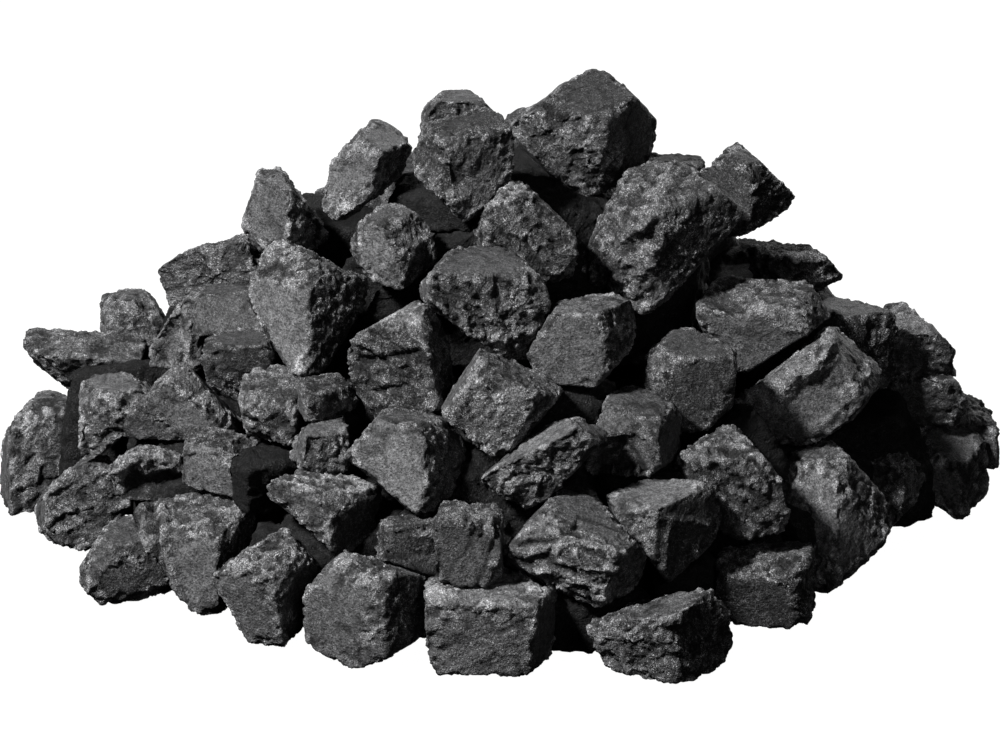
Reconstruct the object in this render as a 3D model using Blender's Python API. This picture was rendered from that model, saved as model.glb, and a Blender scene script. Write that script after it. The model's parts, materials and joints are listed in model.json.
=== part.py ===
"""A heap of loose lump charcoal, lying on a flat floor.

Each lump is a block that is turned, chipped at its corners and laid on the heap's bed, the domed
surface that runs through the middle of the outer lumps. A lump is then cut flat where it meets one
that was laid before it, with a small gap. The lumps of a joined cluster are fused where they meet.
Metres, +Z up. The heap stands on z = 0 and is centred on the Z axis, its front towards -Y.
"""

import math
import random
from collections import namedtuple

import bmesh
import bpy
import numpy as np
from mathutils import Matrix, Vector

MM = 0.001

# The heap.
BED_RADIUS = 205 * MM  # how far out to the left and right the bed of lump centres would meet the floor
BED_REACH = 195 * MM  # the same to the front and back
BED_HEIGHT = 158 * MM  # the bed's height over the heap's middle
BED_CORNERS = 1.5  # the footprint is a diamond at 1 and round at 2
BED_BULGE = 1.85  # the sides are straight at 1, and more makes them fuller
SHEET_LEAN = math.radians(20)  # the sheet that the front lumps are set out on leans back this far
SHEET_DISTANCE = 2400 * MM  # where the sheet is looked at from, so that what lies behind it is larger

# The lumps.
PRESS = 1.09  # front lumps are made this much larger than their outlines, so that they press together
BACK_LUMP = 47 * MM  # a typical lump of the back slope, measured along the slope
BACK_OVERLAP = 1.25  # how much wider a back lump is than its place, so that it meets its neighbours
BACK_DROP = 22 * MM  # how far the back slope's lumps lie below the bed
CHIP = 0.13  # how deep a broken corner goes, as a share of the lump
CHIPS = 5  # broken corners on each lump
FOOT = 0.2  # how far a floor lump's middle lies behind its foot's front, as a share of its depth
FACE_TILT = math.radians(7)  # how far a lump's faces are out of square

# How they lie.
GAP = 0.35 * MM  # between lumps that touch
FUSE = 2.5 * MM  # how deep the lumps of a cluster go into each other
LIFT = 80 * MM  # the way over a loose crown lump that is kept free
WELD = 0.5 * MM  # edges shorter than this are closed up

FLOOR_NORMAL = Vector((0, 0, -1))

# A lump of the front, set out on the leaning sheet in millimetres: `at` is the middle of its outline,
# across and up the sheet from the middle of the heap's foot, and `size` its width, height and depth.
# `turn` is its yaw, pitch and roll in degrees, `long` how much longer than wide the unturned block is,
# and `deep` how far it lies behind the bed, or behind its place on the floor. Each entry of `cuts` is a
# cut corner: its direction on the sheet in degrees, anticlockwise from the right, and its depth as a
# share of the outline.
FrontLump = namedtuple("FrontLump", "name at size turn cuts long deep", defaults=((), 1.0, 0))

# These rest on the others with nothing on top, so each can be lifted straight off.
LOOSE_LUMPS = (
    FrontLump(
        "peak_lump", (35, 152), (60, 53, 50), (-25, 8, 0),
        ((122, 0.21), (226, 0.18), (290, 0.14), (48, 0.27)), 1.0, -26,
    ),
    FrontLump(
        "crown_lump", (-14, 139), (40, 46, 42), (20, 5, 0),
        ((317, 0.22), (227, 0.18), (107, 0.13)), 1.0, -24,
    ),
    FrontLump(
        "tall_lump", (-54, 137), (36, 43, 34), (-30, 0, -20),
        ((130, 0.22), (302, 0.24)), 0.75, -20,
    ),
    FrontLump("cone_lump", (-87, 120), (35, 38, 36), (-40, 0, 0), ((164, 0.19), (35, 0.34)), 1.0, -14),
    FrontLump(
        "right_crown_lump", (101, 128), (46, 38, 40), (42, 0, 0),
        ((50, 0.22), (130, 0.16), (300, 0.12)), 1.0, -12,
    ),
    FrontLump("jagged_lump", (122, 93), (37, 24, 34), (25, 0, 0), ((40, 0.20), (300, 0.15))),
    FrontLump("left_slab", (-169, 56), (46, 27, 38), (-4, 8, 0), ((50, 0.06),)),
)

# The lowest course, which stands on the floor.
FLOOR_LUMPS = (
    FrontLump("front_block", (-2, -46), (53, 44, 40), (-12, 0, 0), ((300, 0.05),)),
    FrontLump(
        "front_right_lump", (66, -52), (57, 39, 42), (-25, 0, 8),
        ((108, 0.12), (250, 0.09), (320, 0.06), (40, 0.10)),
    ),
    FrontLump(
        "flat_front_block", (-52, -42), (53, 48, 42), (-38, 0, 0),
        ((75, 0.20), (296, 0.18), (248, 0.15)),
    ),
    FrontLump(
        "hatched_block", (-94, -34), (44, 48, 40), (-30, 5, 0),
        ((119, 0.22), (214, 0.21), (320, 0.15), (50, 0.10)),
    ),
    FrontLump(
        "ribbed_block", (-124, -19), (50, 52, 42), (-25, 0, 0),
        ((211, 0.27), (342, 0.19), (50, 0.06)),
    ),
    FrontLump(
        "wedge_lump", (135, -5), (50, 60, 44), (38, -6, 0),
        ((43, 0.21), (308, 0.17), (213, 0.17), (155, 0.14)),
    ),
    FrontLump("right_end_block", (185, 12), (31, 40, 34), (-24, 6, 0), ((315, 0.06),)),
    FrontLump("far_left_lump", (-186, 19), (36, 49, 36), (10, -5, 0), ((144, 0.17), (325, 0.30))),
    FrontLump(
        "left_low_lump", (-170, 1), (38, 38, 36), (10, -8, 0),
        ((135, 0.22), (321, 0.25), (50, 0.15)),
    ),
    FrontLump("ledge_block", (110, -33), (40, 34, 38), (-10, 0, 0)),
    FrontLump(
        "left_front_wedge", (-152, -22), (39, 37, 36), (15, 0, 0),
        ((152, 0.21), (23, 0.25), (225, 0.15), (300, 0.12)),
    ),
    FrontLump("right_low_lump", (157, 7), (34, 48, 36), (-28, 0, 0), ((45, 0.15), (310, 0.20))),
)

FRONT_LUMPS = (
    # The second course.
    FrontLump("small_front_block", (-12, -14), (27, 33, 30), (-8, 4, 0)),
    FrontLump(
        "big_front_lump", (31, -17), (61, 47, 44), (-20, 8, -15),
        ((231, 0.24), (32, 0.20), (145, 0.12)),
    ),
    FrontLump(
        "middle_right_block", (66, -10), (50, 43, 40), (-35, 0, 0),
        ((217, 0.29), (50, 0.10), (310, 0.08)),
    ),
    FrontLump("under_lump", (-36, -15), (27, 27, 28), (10, 0, 0)),
    FrontLump("left_middle_block", (-71, -2), (48, 34, 36), (-35, 0, 0), ((229, 0.30), (50, 0.10))),
    FrontLump(
        "right_rough_lump", (94, 11), (46, 45, 42), (15, 0, 0),
        ((125, 0.23), (225, 0.20), (40, 0.15)),
    ),
    FrontLump(
        "pale_facet_lump", (-38, 18), (51, 46, 42), (-20, -8, 0),
        ((140, 0.20), (225, 0.19), (45, 0.15), (320, 0.15)),
    ),
    FrontLump("bevel_lump", (21, 19), (54, 38, 36), (0, 10, 38), ((134, 0.20), (320, 0.12)), 1.7),
    FrontLump("broken_shell_lump", (-142, 14), (29, 24, 30), (0, 0, 0), ((130, 0.20), (50, 0.15))),
    FrontLump("pale_block", (-114, 18), (37, 27, 32), (-24, 6, 0)),
    FrontLump("left_rough_lump", (-73, 24), (24, 30, 28), (10, 0, 0), ((130, 0.20),)),
    # The third course.
    FrontLump(
        "pale_rough_lump", (-155, 36), (31, 34, 32), (0, 0, 0),
        ((50, 0.20), (310, 0.25), (140, 0.10)),
    ),
    FrontLump("triangle_lump", (-130, 41), (50, 29, 36), (-10, -10, 0), ((138, 0.29), (43, 0.27))),
    FrontLump("square_lump", (1, 42), (49, 46, 42), (-12, 0, -32)),
    FrontLump("hollow_block", (56, 29), (37, 39, 38), (-25, 0, 0), (), 1.0, 4),
    FrontLump(
        "ridged_slab", (126, 48), (61, 50, 38), (-10, -10, 36),
        ((131, 0.18), (331, 0.10), (243, 0.12)), 1.5,
    ),
    FrontLump(
        "layered_lump", (-41, 58), (45, 50, 42), (-15, 0, 10),
        ((116, 0.18), (286, 0.16), (220, 0.12)),
    ),
    FrontLump(
        "dark_round_lump", (78, 52), (37, 41, 38), (0, 0, 0),
        ((45, 0.14), (135, 0.14), (225, 0.14), (315, 0.14)), 1.0, 6,
    ),
    # The upper courses.
    FrontLump(
        "flat_lump", (35, 68), (45, 36, 36), (-15, 0, 0),
        ((151, 0.21), (320, 0.18), (225, 0.08)),
    ),
    FrontLump("three_corner_lump", (108, 74), (53, 37, 38), (-15, 5, 0), ((205, 0.21), (305, 0.30))),
    FrontLump("right_high_block", (146, 61), (34, 44, 36), (30, 0, 0), ((300, 0.12),)),
    FrontLump("leaf_lump", (-131, 70), (22, 33, 30), (-15, 0, 0), ((145, 0.34),)),
    FrontLump(
        "tall_face_block", (-77, 80), (49, 54, 42), (-42, -3, 0),
        ((157, 0.10), (65, 0.22), (211, 0.17), (331, 0.20)),
    ),
    FrontLump(
        "round_rough_lump", (-5, 84), (50, 46, 44), (10, 0, 0),
        ((223, 0.24), (140, 0.13), (45, 0.12), (320, 0.15)),
    ),
    FrontLump("striated_lump", (-117, 90), (49, 37, 36), (-10, 0, 22), ((120, 0.12),), 1.5),
    FrontLump(
        "flat_pale_lump", (-43, 106), (34, 36, 32), (-28, 0, 0),
        ((217, 0.22), (130, 0.10), (40, 0.10), (315, 0.12)),
    ),
    FrontLump("gnarly_lump", (11, 109), (43, 50, 40), (10, 0, 0), ((142, 0.12), (47, 0.24))),
    FrontLump(
        "ridge_lump", (67, 109), (64, 62, 48), (-50, 0, 0),
        ((151, 0.24), (316, 0.24), (50, 0.10), (240, 0.10)),
    ),
)

# Small lumps that show between the others, each cluster fused into one body.
FRONT_CLUSTERS = {
    "upper_left_lumps": (
        FrontLump("", (-151, 78), (25, 17, 44), (20, 0, 8), (), 1.0, 36),
        FrontLump("", (-149, 65), (28, 21, 52), (-15, 0, -6), (), 1.0, 34),
    ),
    "left_inner_lumps": (
        FrontLump("", (-105, 57), (30, 32, 44), (-10, 0, 0), ((45, 0.1),), 1.0, 6),
        FrontLump("", (-89, 41), (30, 32, 44), (-15, 0, 0), (), 1.0, 6),
        FrontLump("", (-70, 42), (30, 26, 44), (20, 0, 0), (), 1.0, 6),
        FrontLump("", (-110, 75), (34, 30, 48), (0, 0, 0), (), 1.0, 10),
    ),
    "right_edge_lumps": (
        FrontLump("", (177, 45), (35, 30, 46), (-10, 0, 0), ((35, 0.2),)),
        FrontLump("", (171, 63), (30, 34, 50), (0, 0, 0), ((45, 0.2),), 1.0, 4),
        FrontLump("", (192, 28), (23, 32, 44), (0, 0, 0), ((45, 0.2),), 1.0, 8),
        FrontLump("", (164, 36), (42, 30, 66), (0, 0, 0), (), 1.0, 50),
    ),
    "crown_back_lumps": (
        FrontLump("", (-15, 154), (32, 28, 36), (0, 0, 0), ((140, 0.15), (45, 0.12)), 1.0, 18),
        FrontLump("", (-34, 145), (34, 34, 36), (15, 0, 0), ((130, 0.12),), 1.0, 16),
        FrontLump("", (0, 149), (26, 30, 34), (0, 0, 0), ((45, 0.15),), 1.0, 16),
    ),
    "ridge_back_lumps": (
        FrontLump("", (70, 131), (28, 22, 36), (0, 0, 0), ((110, 0.1),), 1.0, 16),
        FrontLump("", (88, 118), (34, 34, 36), (0, 0, 0), (), 1.0, 20),
        FrontLump("", (106, 104), (28, 38, 36), (10, 0, 0), ((45, 0.12),), 1.0, 14),
    ),
}

# The back slope: rings of lumps on the bed, each ring in clusters that are fused into one body.
# `share` is where a ring lies between the heap's middle, 0, and the foot of the bed, 1.
BackRing = namedtuple("BackRing", "share first last clusters")
BACK_RINGS = (
    BackRing(0.90, 22, 154, ("back_foot_right", "back_foot_left")),
    BackRing(0.70, 30, 150, ("back_low_right", "back_low_left")),
    BackRing(0.48, 40, 138, ("back_high_right", "back_high_left")),
    BackRing(0.27, 55, 125, ("back_crown",)),
)

# The core: rings of buried lumps, all fused into one cluster. The large ones lie inside, and the small
# ones close the gaps between the outer lumps.
CoreRing = namedtuple("CoreRing", "share height count size")
CORE_RINGS = (
    CoreRing(0, 45 * MM, 1, 88 * MM),
    CoreRing(0.38, 40 * MM, 6, 84 * MM),
    CoreRing(0.15, 88 * MM, 3, 66 * MM),
    CoreRing(0.70, 26 * MM, 17, 54 * MM),
    CoreRing(0.80, 18 * MM, 26, 38 * MM),
    CoreRing(0.74, 48 * MM, 20, 42 * MM),
    CoreRing(0.55, 64 * MM, 13, 56 * MM),
    CoreRing(0.35, 98 * MM, 8, 56 * MM),
    CoreRing(0.15, 122 * MM, 4, 48 * MM),
)

Solid = namedtuple("Solid", "points normals offsets")


def bed_share(x, y):
    """Where a point of the floor lies between the heap's middle, 0, and the foot of the bed, 1."""
    corners = (abs(x) / BED_RADIUS) ** BED_CORNERS + (abs(y) / BED_REACH) ** BED_CORNERS
    return corners ** (1 / BED_CORNERS)


def bed_height(x, y):
    """How high the bed lies over a point of the floor."""
    return BED_HEIGHT * (1 - bed_share(x, y) ** BED_BULGE)


def on_ring(share, bearing, height):
    """The point at a bearing and height where the floor below has the given share."""
    x, y = math.cos(bearing), math.sin(bearing)
    reach = share / bed_share(x, y)
    return Vector((x * reach, y * reach, height))


def on_sheet(across, up, depth):
    """The point that lies a depth behind a point of the leaning sheet."""
    y = up * math.sin(SHEET_LEAN) + depth * math.cos(SHEET_LEAN)
    z = up * math.cos(SHEET_LEAN) - depth * math.sin(SHEET_LEAN)
    return Vector((across, y, z))


def spread(depth):
    """How much larger than on the sheet things are that lie this far behind it."""
    return 1 + depth / SHEET_DISTANCE


def depth_of_bed(across, up):
    """How far behind a point of the sheet the bed is first met, or comes nearest."""
    step = 1 * MM
    depths = [-1.5 * BED_RADIUS + step * i for i in range(int(3 * BED_RADIUS / step))]
    nearest = None
    for depth in depths:
        point = on_sheet(across * spread(depth), up * spread(depth), depth)
        over = point.z - bed_height(point.x, point.y)
        if over <= 0:
            return depth
        if nearest is None or over < nearest[0]:
            nearest = (over, depth)
    return nearest[1]


def depth_of_floor(up):
    """How far behind the sheet the floor is seen through it."""
    rise = up * math.cos(SHEET_LEAN)
    return rise / (math.sin(SHEET_LEAN) - rise / SHEET_DISTANCE)


def depth_of(lump, on_floor):
    """How far behind the sheet the middle of a lump lies."""
    across, up = (place * MM for place in lump.at)
    _, height, depth = (side * MM for side in lump.size)
    if on_floor:
        return depth_of_floor(up - height / 2) + FOOT * depth + lump.deep * MM
    return depth_of_bed(across, up) + lump.deep * MM


def carve(bm, normal, reach):
    """Cuts off what lies further than `reach` along `normal`, and closes the cut."""
    bmesh.ops.bisect_plane(
        bm,
        geom=bm.verts[:] + bm.edges[:] + bm.faces[:],
        plane_co=normal * reach,
        plane_no=normal,
        clear_outer=True,
    )
    rim = [edge for edge in bm.edges if edge.is_boundary]
    if rim:
        bmesh.ops.holes_fill(bm, edges=rim, sides=0)


def points_of(bm):
    return np.array([vert.co[:] for vert in bm.verts])


def span(bm, direction):
    """The lowest and highest reach of the body along a direction."""
    along = points_of(bm) @ np.array(direction)
    return along.min(), along.max()


def chip(bm, direction, share):
    """Cuts a corner off, to a share of the body's length in that direction."""
    low, high = span(bm, direction)
    carve(bm, direction, high - share * (high - low))


def new_block(rng, long=1.0):
    """A unit block, longer along X by `long`, with its faces a little out of square."""
    bm = bmesh.new()
    bmesh.ops.create_cube(bm, size=4 * long)
    for axis in range(3):
        for side in (-1, 1):
            tilt = [rng.uniform(-FACE_TILT, FACE_TILT) for _ in range(3)]
            tilt[axis] = side
            normal = Vector(tilt).normalized()
            carve(bm, normal, long / 2 if axis == 0 else 0.5)
    return bm


def chip_corners(bm, rng):
    """Breaks some corners off, at random."""
    for _ in range(CHIPS):
        direction = Vector([rng.choice((-1, 1)) * rng.uniform(0.3, 1.0) for _ in range(3)])
        chip(bm, direction.normalized(), CHIP * rng.uniform(0.4, 1.0))


def fit_to(bm, axes, sizes):
    """Stretches the body along three square axes to the given sizes, about its middle."""
    frame = Matrix([axis[:] for axis in axes])
    bmesh.ops.transform(bm, matrix=frame.to_4x4(), verts=bm.verts)
    points = points_of(bm)
    low, high = points.min(axis=0), points.max(axis=0)
    bmesh.ops.translate(bm, vec=-Vector((low + high) / 2), verts=bm.verts)
    bmesh.ops.scale(bm, vec=[size / side for size, side in zip(sizes, high - low)], verts=bm.verts)
    bmesh.ops.transform(bm, matrix=frame.transposed().to_4x4(), verts=bm.verts)


def sheet_axes():
    """Across, up and into the sheet, as directions."""
    return on_sheet(1, 0, 0), on_sheet(0, 1, 0), on_sheet(0, 0, 1)


def front_lump(lump, rng, on_floor=False):
    """A lump of the front, in its place."""
    yaw, pitch, roll = (math.radians(angle) for angle in lump.turn)
    across, up, back = sheet_axes()
    bm = new_block(rng, lump.long)
    turned = Matrix.Rotation(-roll, 4, "Y") @ Matrix.Rotation(pitch, 4, "X") @ Matrix.Rotation(yaw, 4, "Z")
    bmesh.ops.transform(bm, matrix=turned, verts=bm.verts)
    deep = depth_of(lump, on_floor)
    grown = spread(deep)
    sizes = [side * MM * grown * PRESS for side in lump.size]
    fit_to(bm, (across, up, back), sizes)
    chip_corners(bm, rng)
    for angle, share in lump.cuts:
        direction = math.cos(math.radians(angle)) * across + math.sin(math.radians(angle)) * up
        chip(bm, direction, share)
    fit_to(bm, (across, up, back), sizes)
    place = on_sheet(lump.at[0] * MM * grown, lump.at[1] * MM * grown, deep)
    bmesh.ops.translate(bm, vec=place, verts=bm.verts)
    return bm


def ring_lump(rng, centre, sizes, bearing, pitch):
    """A lump of given length, depth and height that faces out from the heap's middle."""
    bm = new_block(rng)
    chip_corners(bm, rng)
    fit_to(bm, (Vector((1, 0, 0)), Vector((0, 1, 0)), Vector((0, 0, 1))), sizes)
    roll = rng.uniform(-0.5, 0.5)
    turned = (
        Matrix.Rotation(bearing + math.pi / 2 + rng.uniform(-0.3, 0.3), 4, "Z")
        @ Matrix.Rotation(pitch, 4, "X")
        @ Matrix.Rotation(roll, 4, "Y")
    )
    bmesh.ops.transform(bm, matrix=turned, verts=bm.verts)
    bmesh.ops.translate(bm, vec=centre, verts=bm.verts)
    return bm


def back_lumps(ring, rng):
    """(cluster, lump) for each lump of a ring of the back slope."""
    sweep = math.radians(ring.last - ring.first)
    sweep_length = sweep * ring.share * BED_REACH
    count = max(len(ring.clusters), round(sweep_length / BACK_LUMP) + 1)
    pitch_along = sweep_length / (count - 1)
    for i in range(count):
        bearing = math.radians(ring.first) + sweep * i / (count - 1)
        centre = on_ring(ring.share, bearing, 0)
        centre.z = bed_height(centre.x, centre.y) - BACK_DROP
        length = pitch_along * BACK_OVERLAP
        sizes = (length, BACK_LUMP * rng.uniform(0.8, 1.0), BACK_LUMP * rng.uniform(0.8, 1.0))
        cluster = ring.clusters[min(len(ring.clusters) * i // count, len(ring.clusters) - 1)]
        yield cluster, ring_lump(rng, centre, sizes, bearing, rng.uniform(-0.6, -0.1))


def core_lumps(ring, rng):
    """The buried lumps of one course."""
    for i in range(ring.count):
        bearing = math.tau * (i + 0.5) / ring.count
        centre = on_ring(ring.share, bearing, ring.height)
        yield ring_lump(rng, centre, (ring.size, ring.size, ring.size), bearing, 0)


def solid_of(bm, lift=0):
    """The body's corners and faces, with the way over it that it is lifted through."""
    if lift:
        bm = bm.copy()
        raised = bmesh.ops.duplicate(bm, geom=bm.verts[:] + bm.edges[:] + bm.faces[:])["geom"]
        raised = [item for item in raised if isinstance(item, bmesh.types.BMVert)]
        bmesh.ops.translate(bm, vec=(0, 0, lift), verts=raised)
        bm = hull_of(bm)
    bm.normal_update()
    normals = np.array([face.normal[:] for face in bm.faces])
    corners = np.array([face.verts[0].co[:] for face in bm.faces])
    return Solid(points_of(bm), normals, (normals * corners).sum(axis=1))


def trim(bm, other, gap):
    """Cuts the body flat along the face of `other` that it reaches over least, leaving a gap."""
    clear = (points_of(bm) @ other.normals.T).min(axis=0) - other.offsets
    if clear.max() >= gap:
        return
    own = solid_of(bm)
    if ((other.points @ own.normals.T).min(axis=0) - own.offsets).max() >= gap:
        return
    face = int(clear.argmax())
    carve(bm, -Vector(other.normals[face]), -(other.offsets[face] + gap))


def meets(bm, other):
    """Whether the body and `other` go into each other."""
    shared = bm.copy()
    for normal, offset in zip(other.normals, other.offsets):
        carve(shared, Vector(normal), offset)
        if not shared.faces:
            return False
    return True


def hull_of(bm):
    """The body's convex hull, closed up where its corners nearly meet."""
    bmesh.ops.remove_doubles(bm, verts=bm.verts, dist=WELD)
    hull = bmesh.new()
    for vert in bm.verts:
        hull.verts.new(vert.co)
    bmesh.ops.convex_hull(hull, input=hull.verts)
    bmesh.ops.delete(hull, geom=[vert for vert in hull.verts if not vert.link_faces], context="VERTS")
    bmesh.ops.dissolve_limit(hull, angle_limit=math.radians(0.2), verts=hull.verts, edges=hull.edges)
    return hull


class Heap:
    """The lumps laid so far: each node's name with its lumps, in the order they were laid."""

    def __init__(self):
        self.nodes = {}
        self.laid = []

    def lay(self, name, bm, lift=0):
        """Trims a lump to the floor and to what it meets, and adds it if it joins its cluster."""
        carve(bm, FLOOR_NORMAL, 0)
        for owner, solid in self.laid:
            trim(bm, solid, -FUSE if owner == name else GAP)
            if not bm.verts:
                return
        bm = hull_of(bm)
        mates = [solid for owner, solid in self.laid if owner == name]
        if mates and not any(meets(bm, mate) for mate in mates):
            return
        self.laid.append((name, solid_of(bm, lift)))
        self.nodes.setdefault(name, []).append(bm)


def charcoal(name, shade):
    """Charcoal: near black, dull and dry."""
    material = bpy.data.materials.new(name)
    material.use_nodes = True
    shader = material.node_tree.nodes["Principled BSDF"]
    shader.inputs["Base Color"].default_value = (shade, shade, shade * 1.02, 1)
    shader.inputs["Roughness"].default_value = 0.85
    shader.inputs["Metallic"].default_value = 0.0
    return material


def object_from(name, bm, centre, collection, material):
    """One lump as an object, with its origin at the given point."""
    bmesh.ops.translate(bm, vec=-centre, verts=bm.verts)
    mesh = bpy.data.meshes.new(name)
    bm.to_mesh(mesh)
    bm.free()
    mesh.materials.append(material)
    obj = bpy.data.objects.new(name, mesh)
    obj.location = centre
    collection.objects.link(obj)
    return obj


def new_collection(name, parent):
    collection = bpy.data.collections.new(name)
    parent.children.link(collection)
    return collection


def build_node(name, lumps, shift, parts, joins, shade):
    """One node: its first lump, with the rest of its cluster joined on."""
    material = charcoal(name, shade)
    for bm in lumps:
        bmesh.ops.translate(bm, vec=shift, verts=bm.verts)
    first, *rest = lumps
    body = object_from(name, first, Vector(points_of(first).mean(axis=0)), parts, material)
    if not rest:
        return
    joined = new_collection(f"{name}_joins", joins)
    for i, bm in enumerate(rest):
        obj = object_from(f"{name}_join_{i}", bm, Vector(points_of(bm).mean(axis=0)), joined, material)
        obj.hide_render = True
        obj.display_type = "WIRE"
    union = body.modifiers.new("join", "BOOLEAN")
    union.operation = "UNION"
    union.solver = "EXACT"
    union.operand_type = "COLLECTION"
    union.collection = joined


def clear_scene():
    for obj in list(bpy.data.objects):
        bpy.data.objects.remove(obj, do_unlink=True)


def main():
    clear_scene()
    rng = random.Random(7)
    heap = Heap()
    for lump in LOOSE_LUMPS:
        heap.lay(lump.name, front_lump(lump, rng), LIFT)
    for lump in FLOOR_LUMPS:
        heap.lay(lump.name, front_lump(lump, rng, on_floor=True))
    for lump in FRONT_LUMPS:
        heap.lay(lump.name, front_lump(lump, rng))
    for name, lumps in FRONT_CLUSTERS.items():
        for lump in lumps:
            heap.lay(name, front_lump(lump, rng))
    for ring in BACK_RINGS:
        for name, bm in back_lumps(ring, rng):
            heap.lay(name, bm)
    for ring in CORE_RINGS:
        for bm in core_lumps(ring, rng):
            heap.lay("core_lumps", bm)

    points = np.concatenate([points_of(bm) for lumps in heap.nodes.values() for bm in lumps])
    middle = (points.min(axis=0) + points.max(axis=0)) / 2
    shift = Vector((-middle[0], -middle[1], 0))
    parts = new_collection("charcoal_heap", bpy.context.scene.collection)
    joins = new_collection("joins", bpy.context.scene.collection)
    for name, lumps in heap.nodes.items():
        build_node(name, lumps, shift, parts, joins, rng.uniform(0.012, 0.022))


main()
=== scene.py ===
"""Looks for the heap of lump charcoal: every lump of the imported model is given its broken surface.

Each lump of a CAD node is a convex block. Its faces are found again, a few small chips are added, and a
fine mesh is wrapped around it. That mesh is then moved in and out by layers of noise: waves, broken
plates, knobs, grains, stripes and pits. Each face has its own character, from smooth and split to crusty.
Metres, +Z up.
"""

import json
import math
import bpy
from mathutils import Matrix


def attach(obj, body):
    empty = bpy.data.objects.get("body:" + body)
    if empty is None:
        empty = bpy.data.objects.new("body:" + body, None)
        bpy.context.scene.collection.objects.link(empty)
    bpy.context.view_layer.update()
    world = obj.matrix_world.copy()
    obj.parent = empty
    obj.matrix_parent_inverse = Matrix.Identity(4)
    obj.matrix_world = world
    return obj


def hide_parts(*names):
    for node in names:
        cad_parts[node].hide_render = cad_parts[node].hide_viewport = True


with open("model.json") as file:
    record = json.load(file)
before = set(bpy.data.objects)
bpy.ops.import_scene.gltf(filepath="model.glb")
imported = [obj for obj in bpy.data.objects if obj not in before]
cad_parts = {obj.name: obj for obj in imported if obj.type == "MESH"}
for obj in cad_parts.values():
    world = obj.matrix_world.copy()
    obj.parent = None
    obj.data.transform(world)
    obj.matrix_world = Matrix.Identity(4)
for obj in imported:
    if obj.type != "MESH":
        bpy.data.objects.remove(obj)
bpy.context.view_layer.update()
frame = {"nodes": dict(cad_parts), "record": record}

import zlib

import bmesh
import bpy
import numpy as np
from mathutils import Vector

MM = 0.001

# The view: the heap is seen from the front and a little above, through a long lens.
ELEVATION = math.radians(20)
DISTANCE = 2.4
LENS_MM = 210.7
SENSOR_MM = 36
AIM_ACROSS = 0.001
AIM_UP = 0.0509

# The lamps: where each is, its width, and its power. The key comes from high on the left.
LAMPS = {
    "key": ((-1.12, -1.02, 1.58), 0.28, 124),
    "fill": ((0.9, -2.2, 1.0), 1.6, 8),
    "back": ((0.95, 1.65, 0.7), 1.2, 30),
}
LAMP_AIM = (0, -0.02, 0.06)

# The floor is a plain white sheet that glows, so that no shadow shows on it, as in the photo.
FLOOR_REACH = 12.0
FLOOR_DROP = 0.8 * MM
FLOOR_VALUE = 0.05
FLOOR_GLOW = 1.0

# The mesh: the distance between its points, finest on the lumps that can be seen best.
FINE_STEP = 0.85 * MM
CLUSTER_STEP = 1.0 * MM
BACK_STEP = 1.4 * MM
CORE_STEP = 1.9 * MM
MOST_QUADS = 90000  # in one object

# The lumps of a CAD node.
WELD = 0.02 * MM
HOLLOW_EDGE = math.radians(-1.5)  # an edge bent in more than this is where two lumps meet
SMALLEST_AREA = 60 * MM * MM  # a lump of which less shows is left out
FEWEST_CORNERS = 5
SAME_WAY = 0.995  # the cosine of the angle between two triangles of one flat face, at least
SAME_PLANE = 0.4 * MM
CHIPS = 16
CHIP_CUT = (0.01, 0.06)  # of the lump's thickness
EDGE_POWER = 46  # how sharp a lump's edges are
EDGE_REACH = 15  # how far from an edge the wear goes: a lower power reaches further
WRAP_SHARE = 0.93  # of the lump's sides, as the mesh is drawn in over its corners
FEWEST_QUADS = 4  # along a side

# Noise.
SEEDS = 9973  # how many different lumps there can be
NOISE_GAIN = 1.6  # brings the noise to about -1 to 1
OCTAVE_RATIO = 2.03  # from one octave to the next finer one
OCTAVE_SEED = 7
FAR = 9.0  # further than any spot can be
PLATE_TILT = 0.9
PLATE_SLOPE = 0.16  # the width of the slope between two plates, in plates
PLATE_MOST = 1.4  # the furthest that a plate lies in or out
SPLIT_FROM = 1.25  # two plates part where their numbers, 0 to 1 each, add up to this
SPLIT_SIDES = (0.03, 0.2)  # the split is open up to the first, and closed from the second

# The relief of a lump, in millimetres: how large its features are, and how far they stand out or go in.
WAVE_SIZE = 26
WAVE_HEIGHT = 1.1
SMALL_WAVE_SIZE = 9
SMALL_WAVE_HEIGHT = 0.7
LEDGE_RISE = 1.1  # on the crusty faces, the waves are broken into steps of this height
PLATE_SIZE = 12.0
PLATE_HEIGHT = 0.85
PLATE_STRETCH = 1.8  # how much longer the plates are along the grain
PLATE_WARP = 1.5
SPLIT_DEPTH = 0.6
CHIP_SIZE = 4.6  # chips are a second, smaller layer of plates
CHIP_HEIGHT = 0.45
CHIP_STRETCH = 1.7
CHIP_WARP = 0.9
CRACK_DEPTH = 0.4
KNOB_SIZE = 4.8
KNOB_HEIGHT = 1.35
KNOB_WARP = 1.4
GRAIN_SIZE = 2.0
GRAIN_HEIGHT = 1.1
GRAIN_WARP = 0.8
FIBRE_WIDTH = 2.6
FIBRE_LENGTH = 24
FIBRE_WARP = 0.35
STRIPE_HEIGHT = 0.7
PIT_SIZE = 4.2
PIT_DEPTH = 0.7
NIBBLE_SIZE = 4.5
NIBBLE_DEPTH = 1.2
PATCH_SIZE = 12  # the patches in which a face is rougher or smoother
WARP_SIZE = 5  # the noise that bends the other layers: each WARP is how far
MARK_WARP = 1.3
SWELL = 0.1  # makes up for what the hollows take away

# What is added to a lump's seed for each layer of its noise, so that no two layers are alike.
SALT = dict(
    waves=0, small_waves=3, patch=5, warp_x=11, warp_y=12, warp_z=13, knobs=17, grains=19, stripes=23,
    pits=29, nibble=31, plates=37, chips=41,
)

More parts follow.
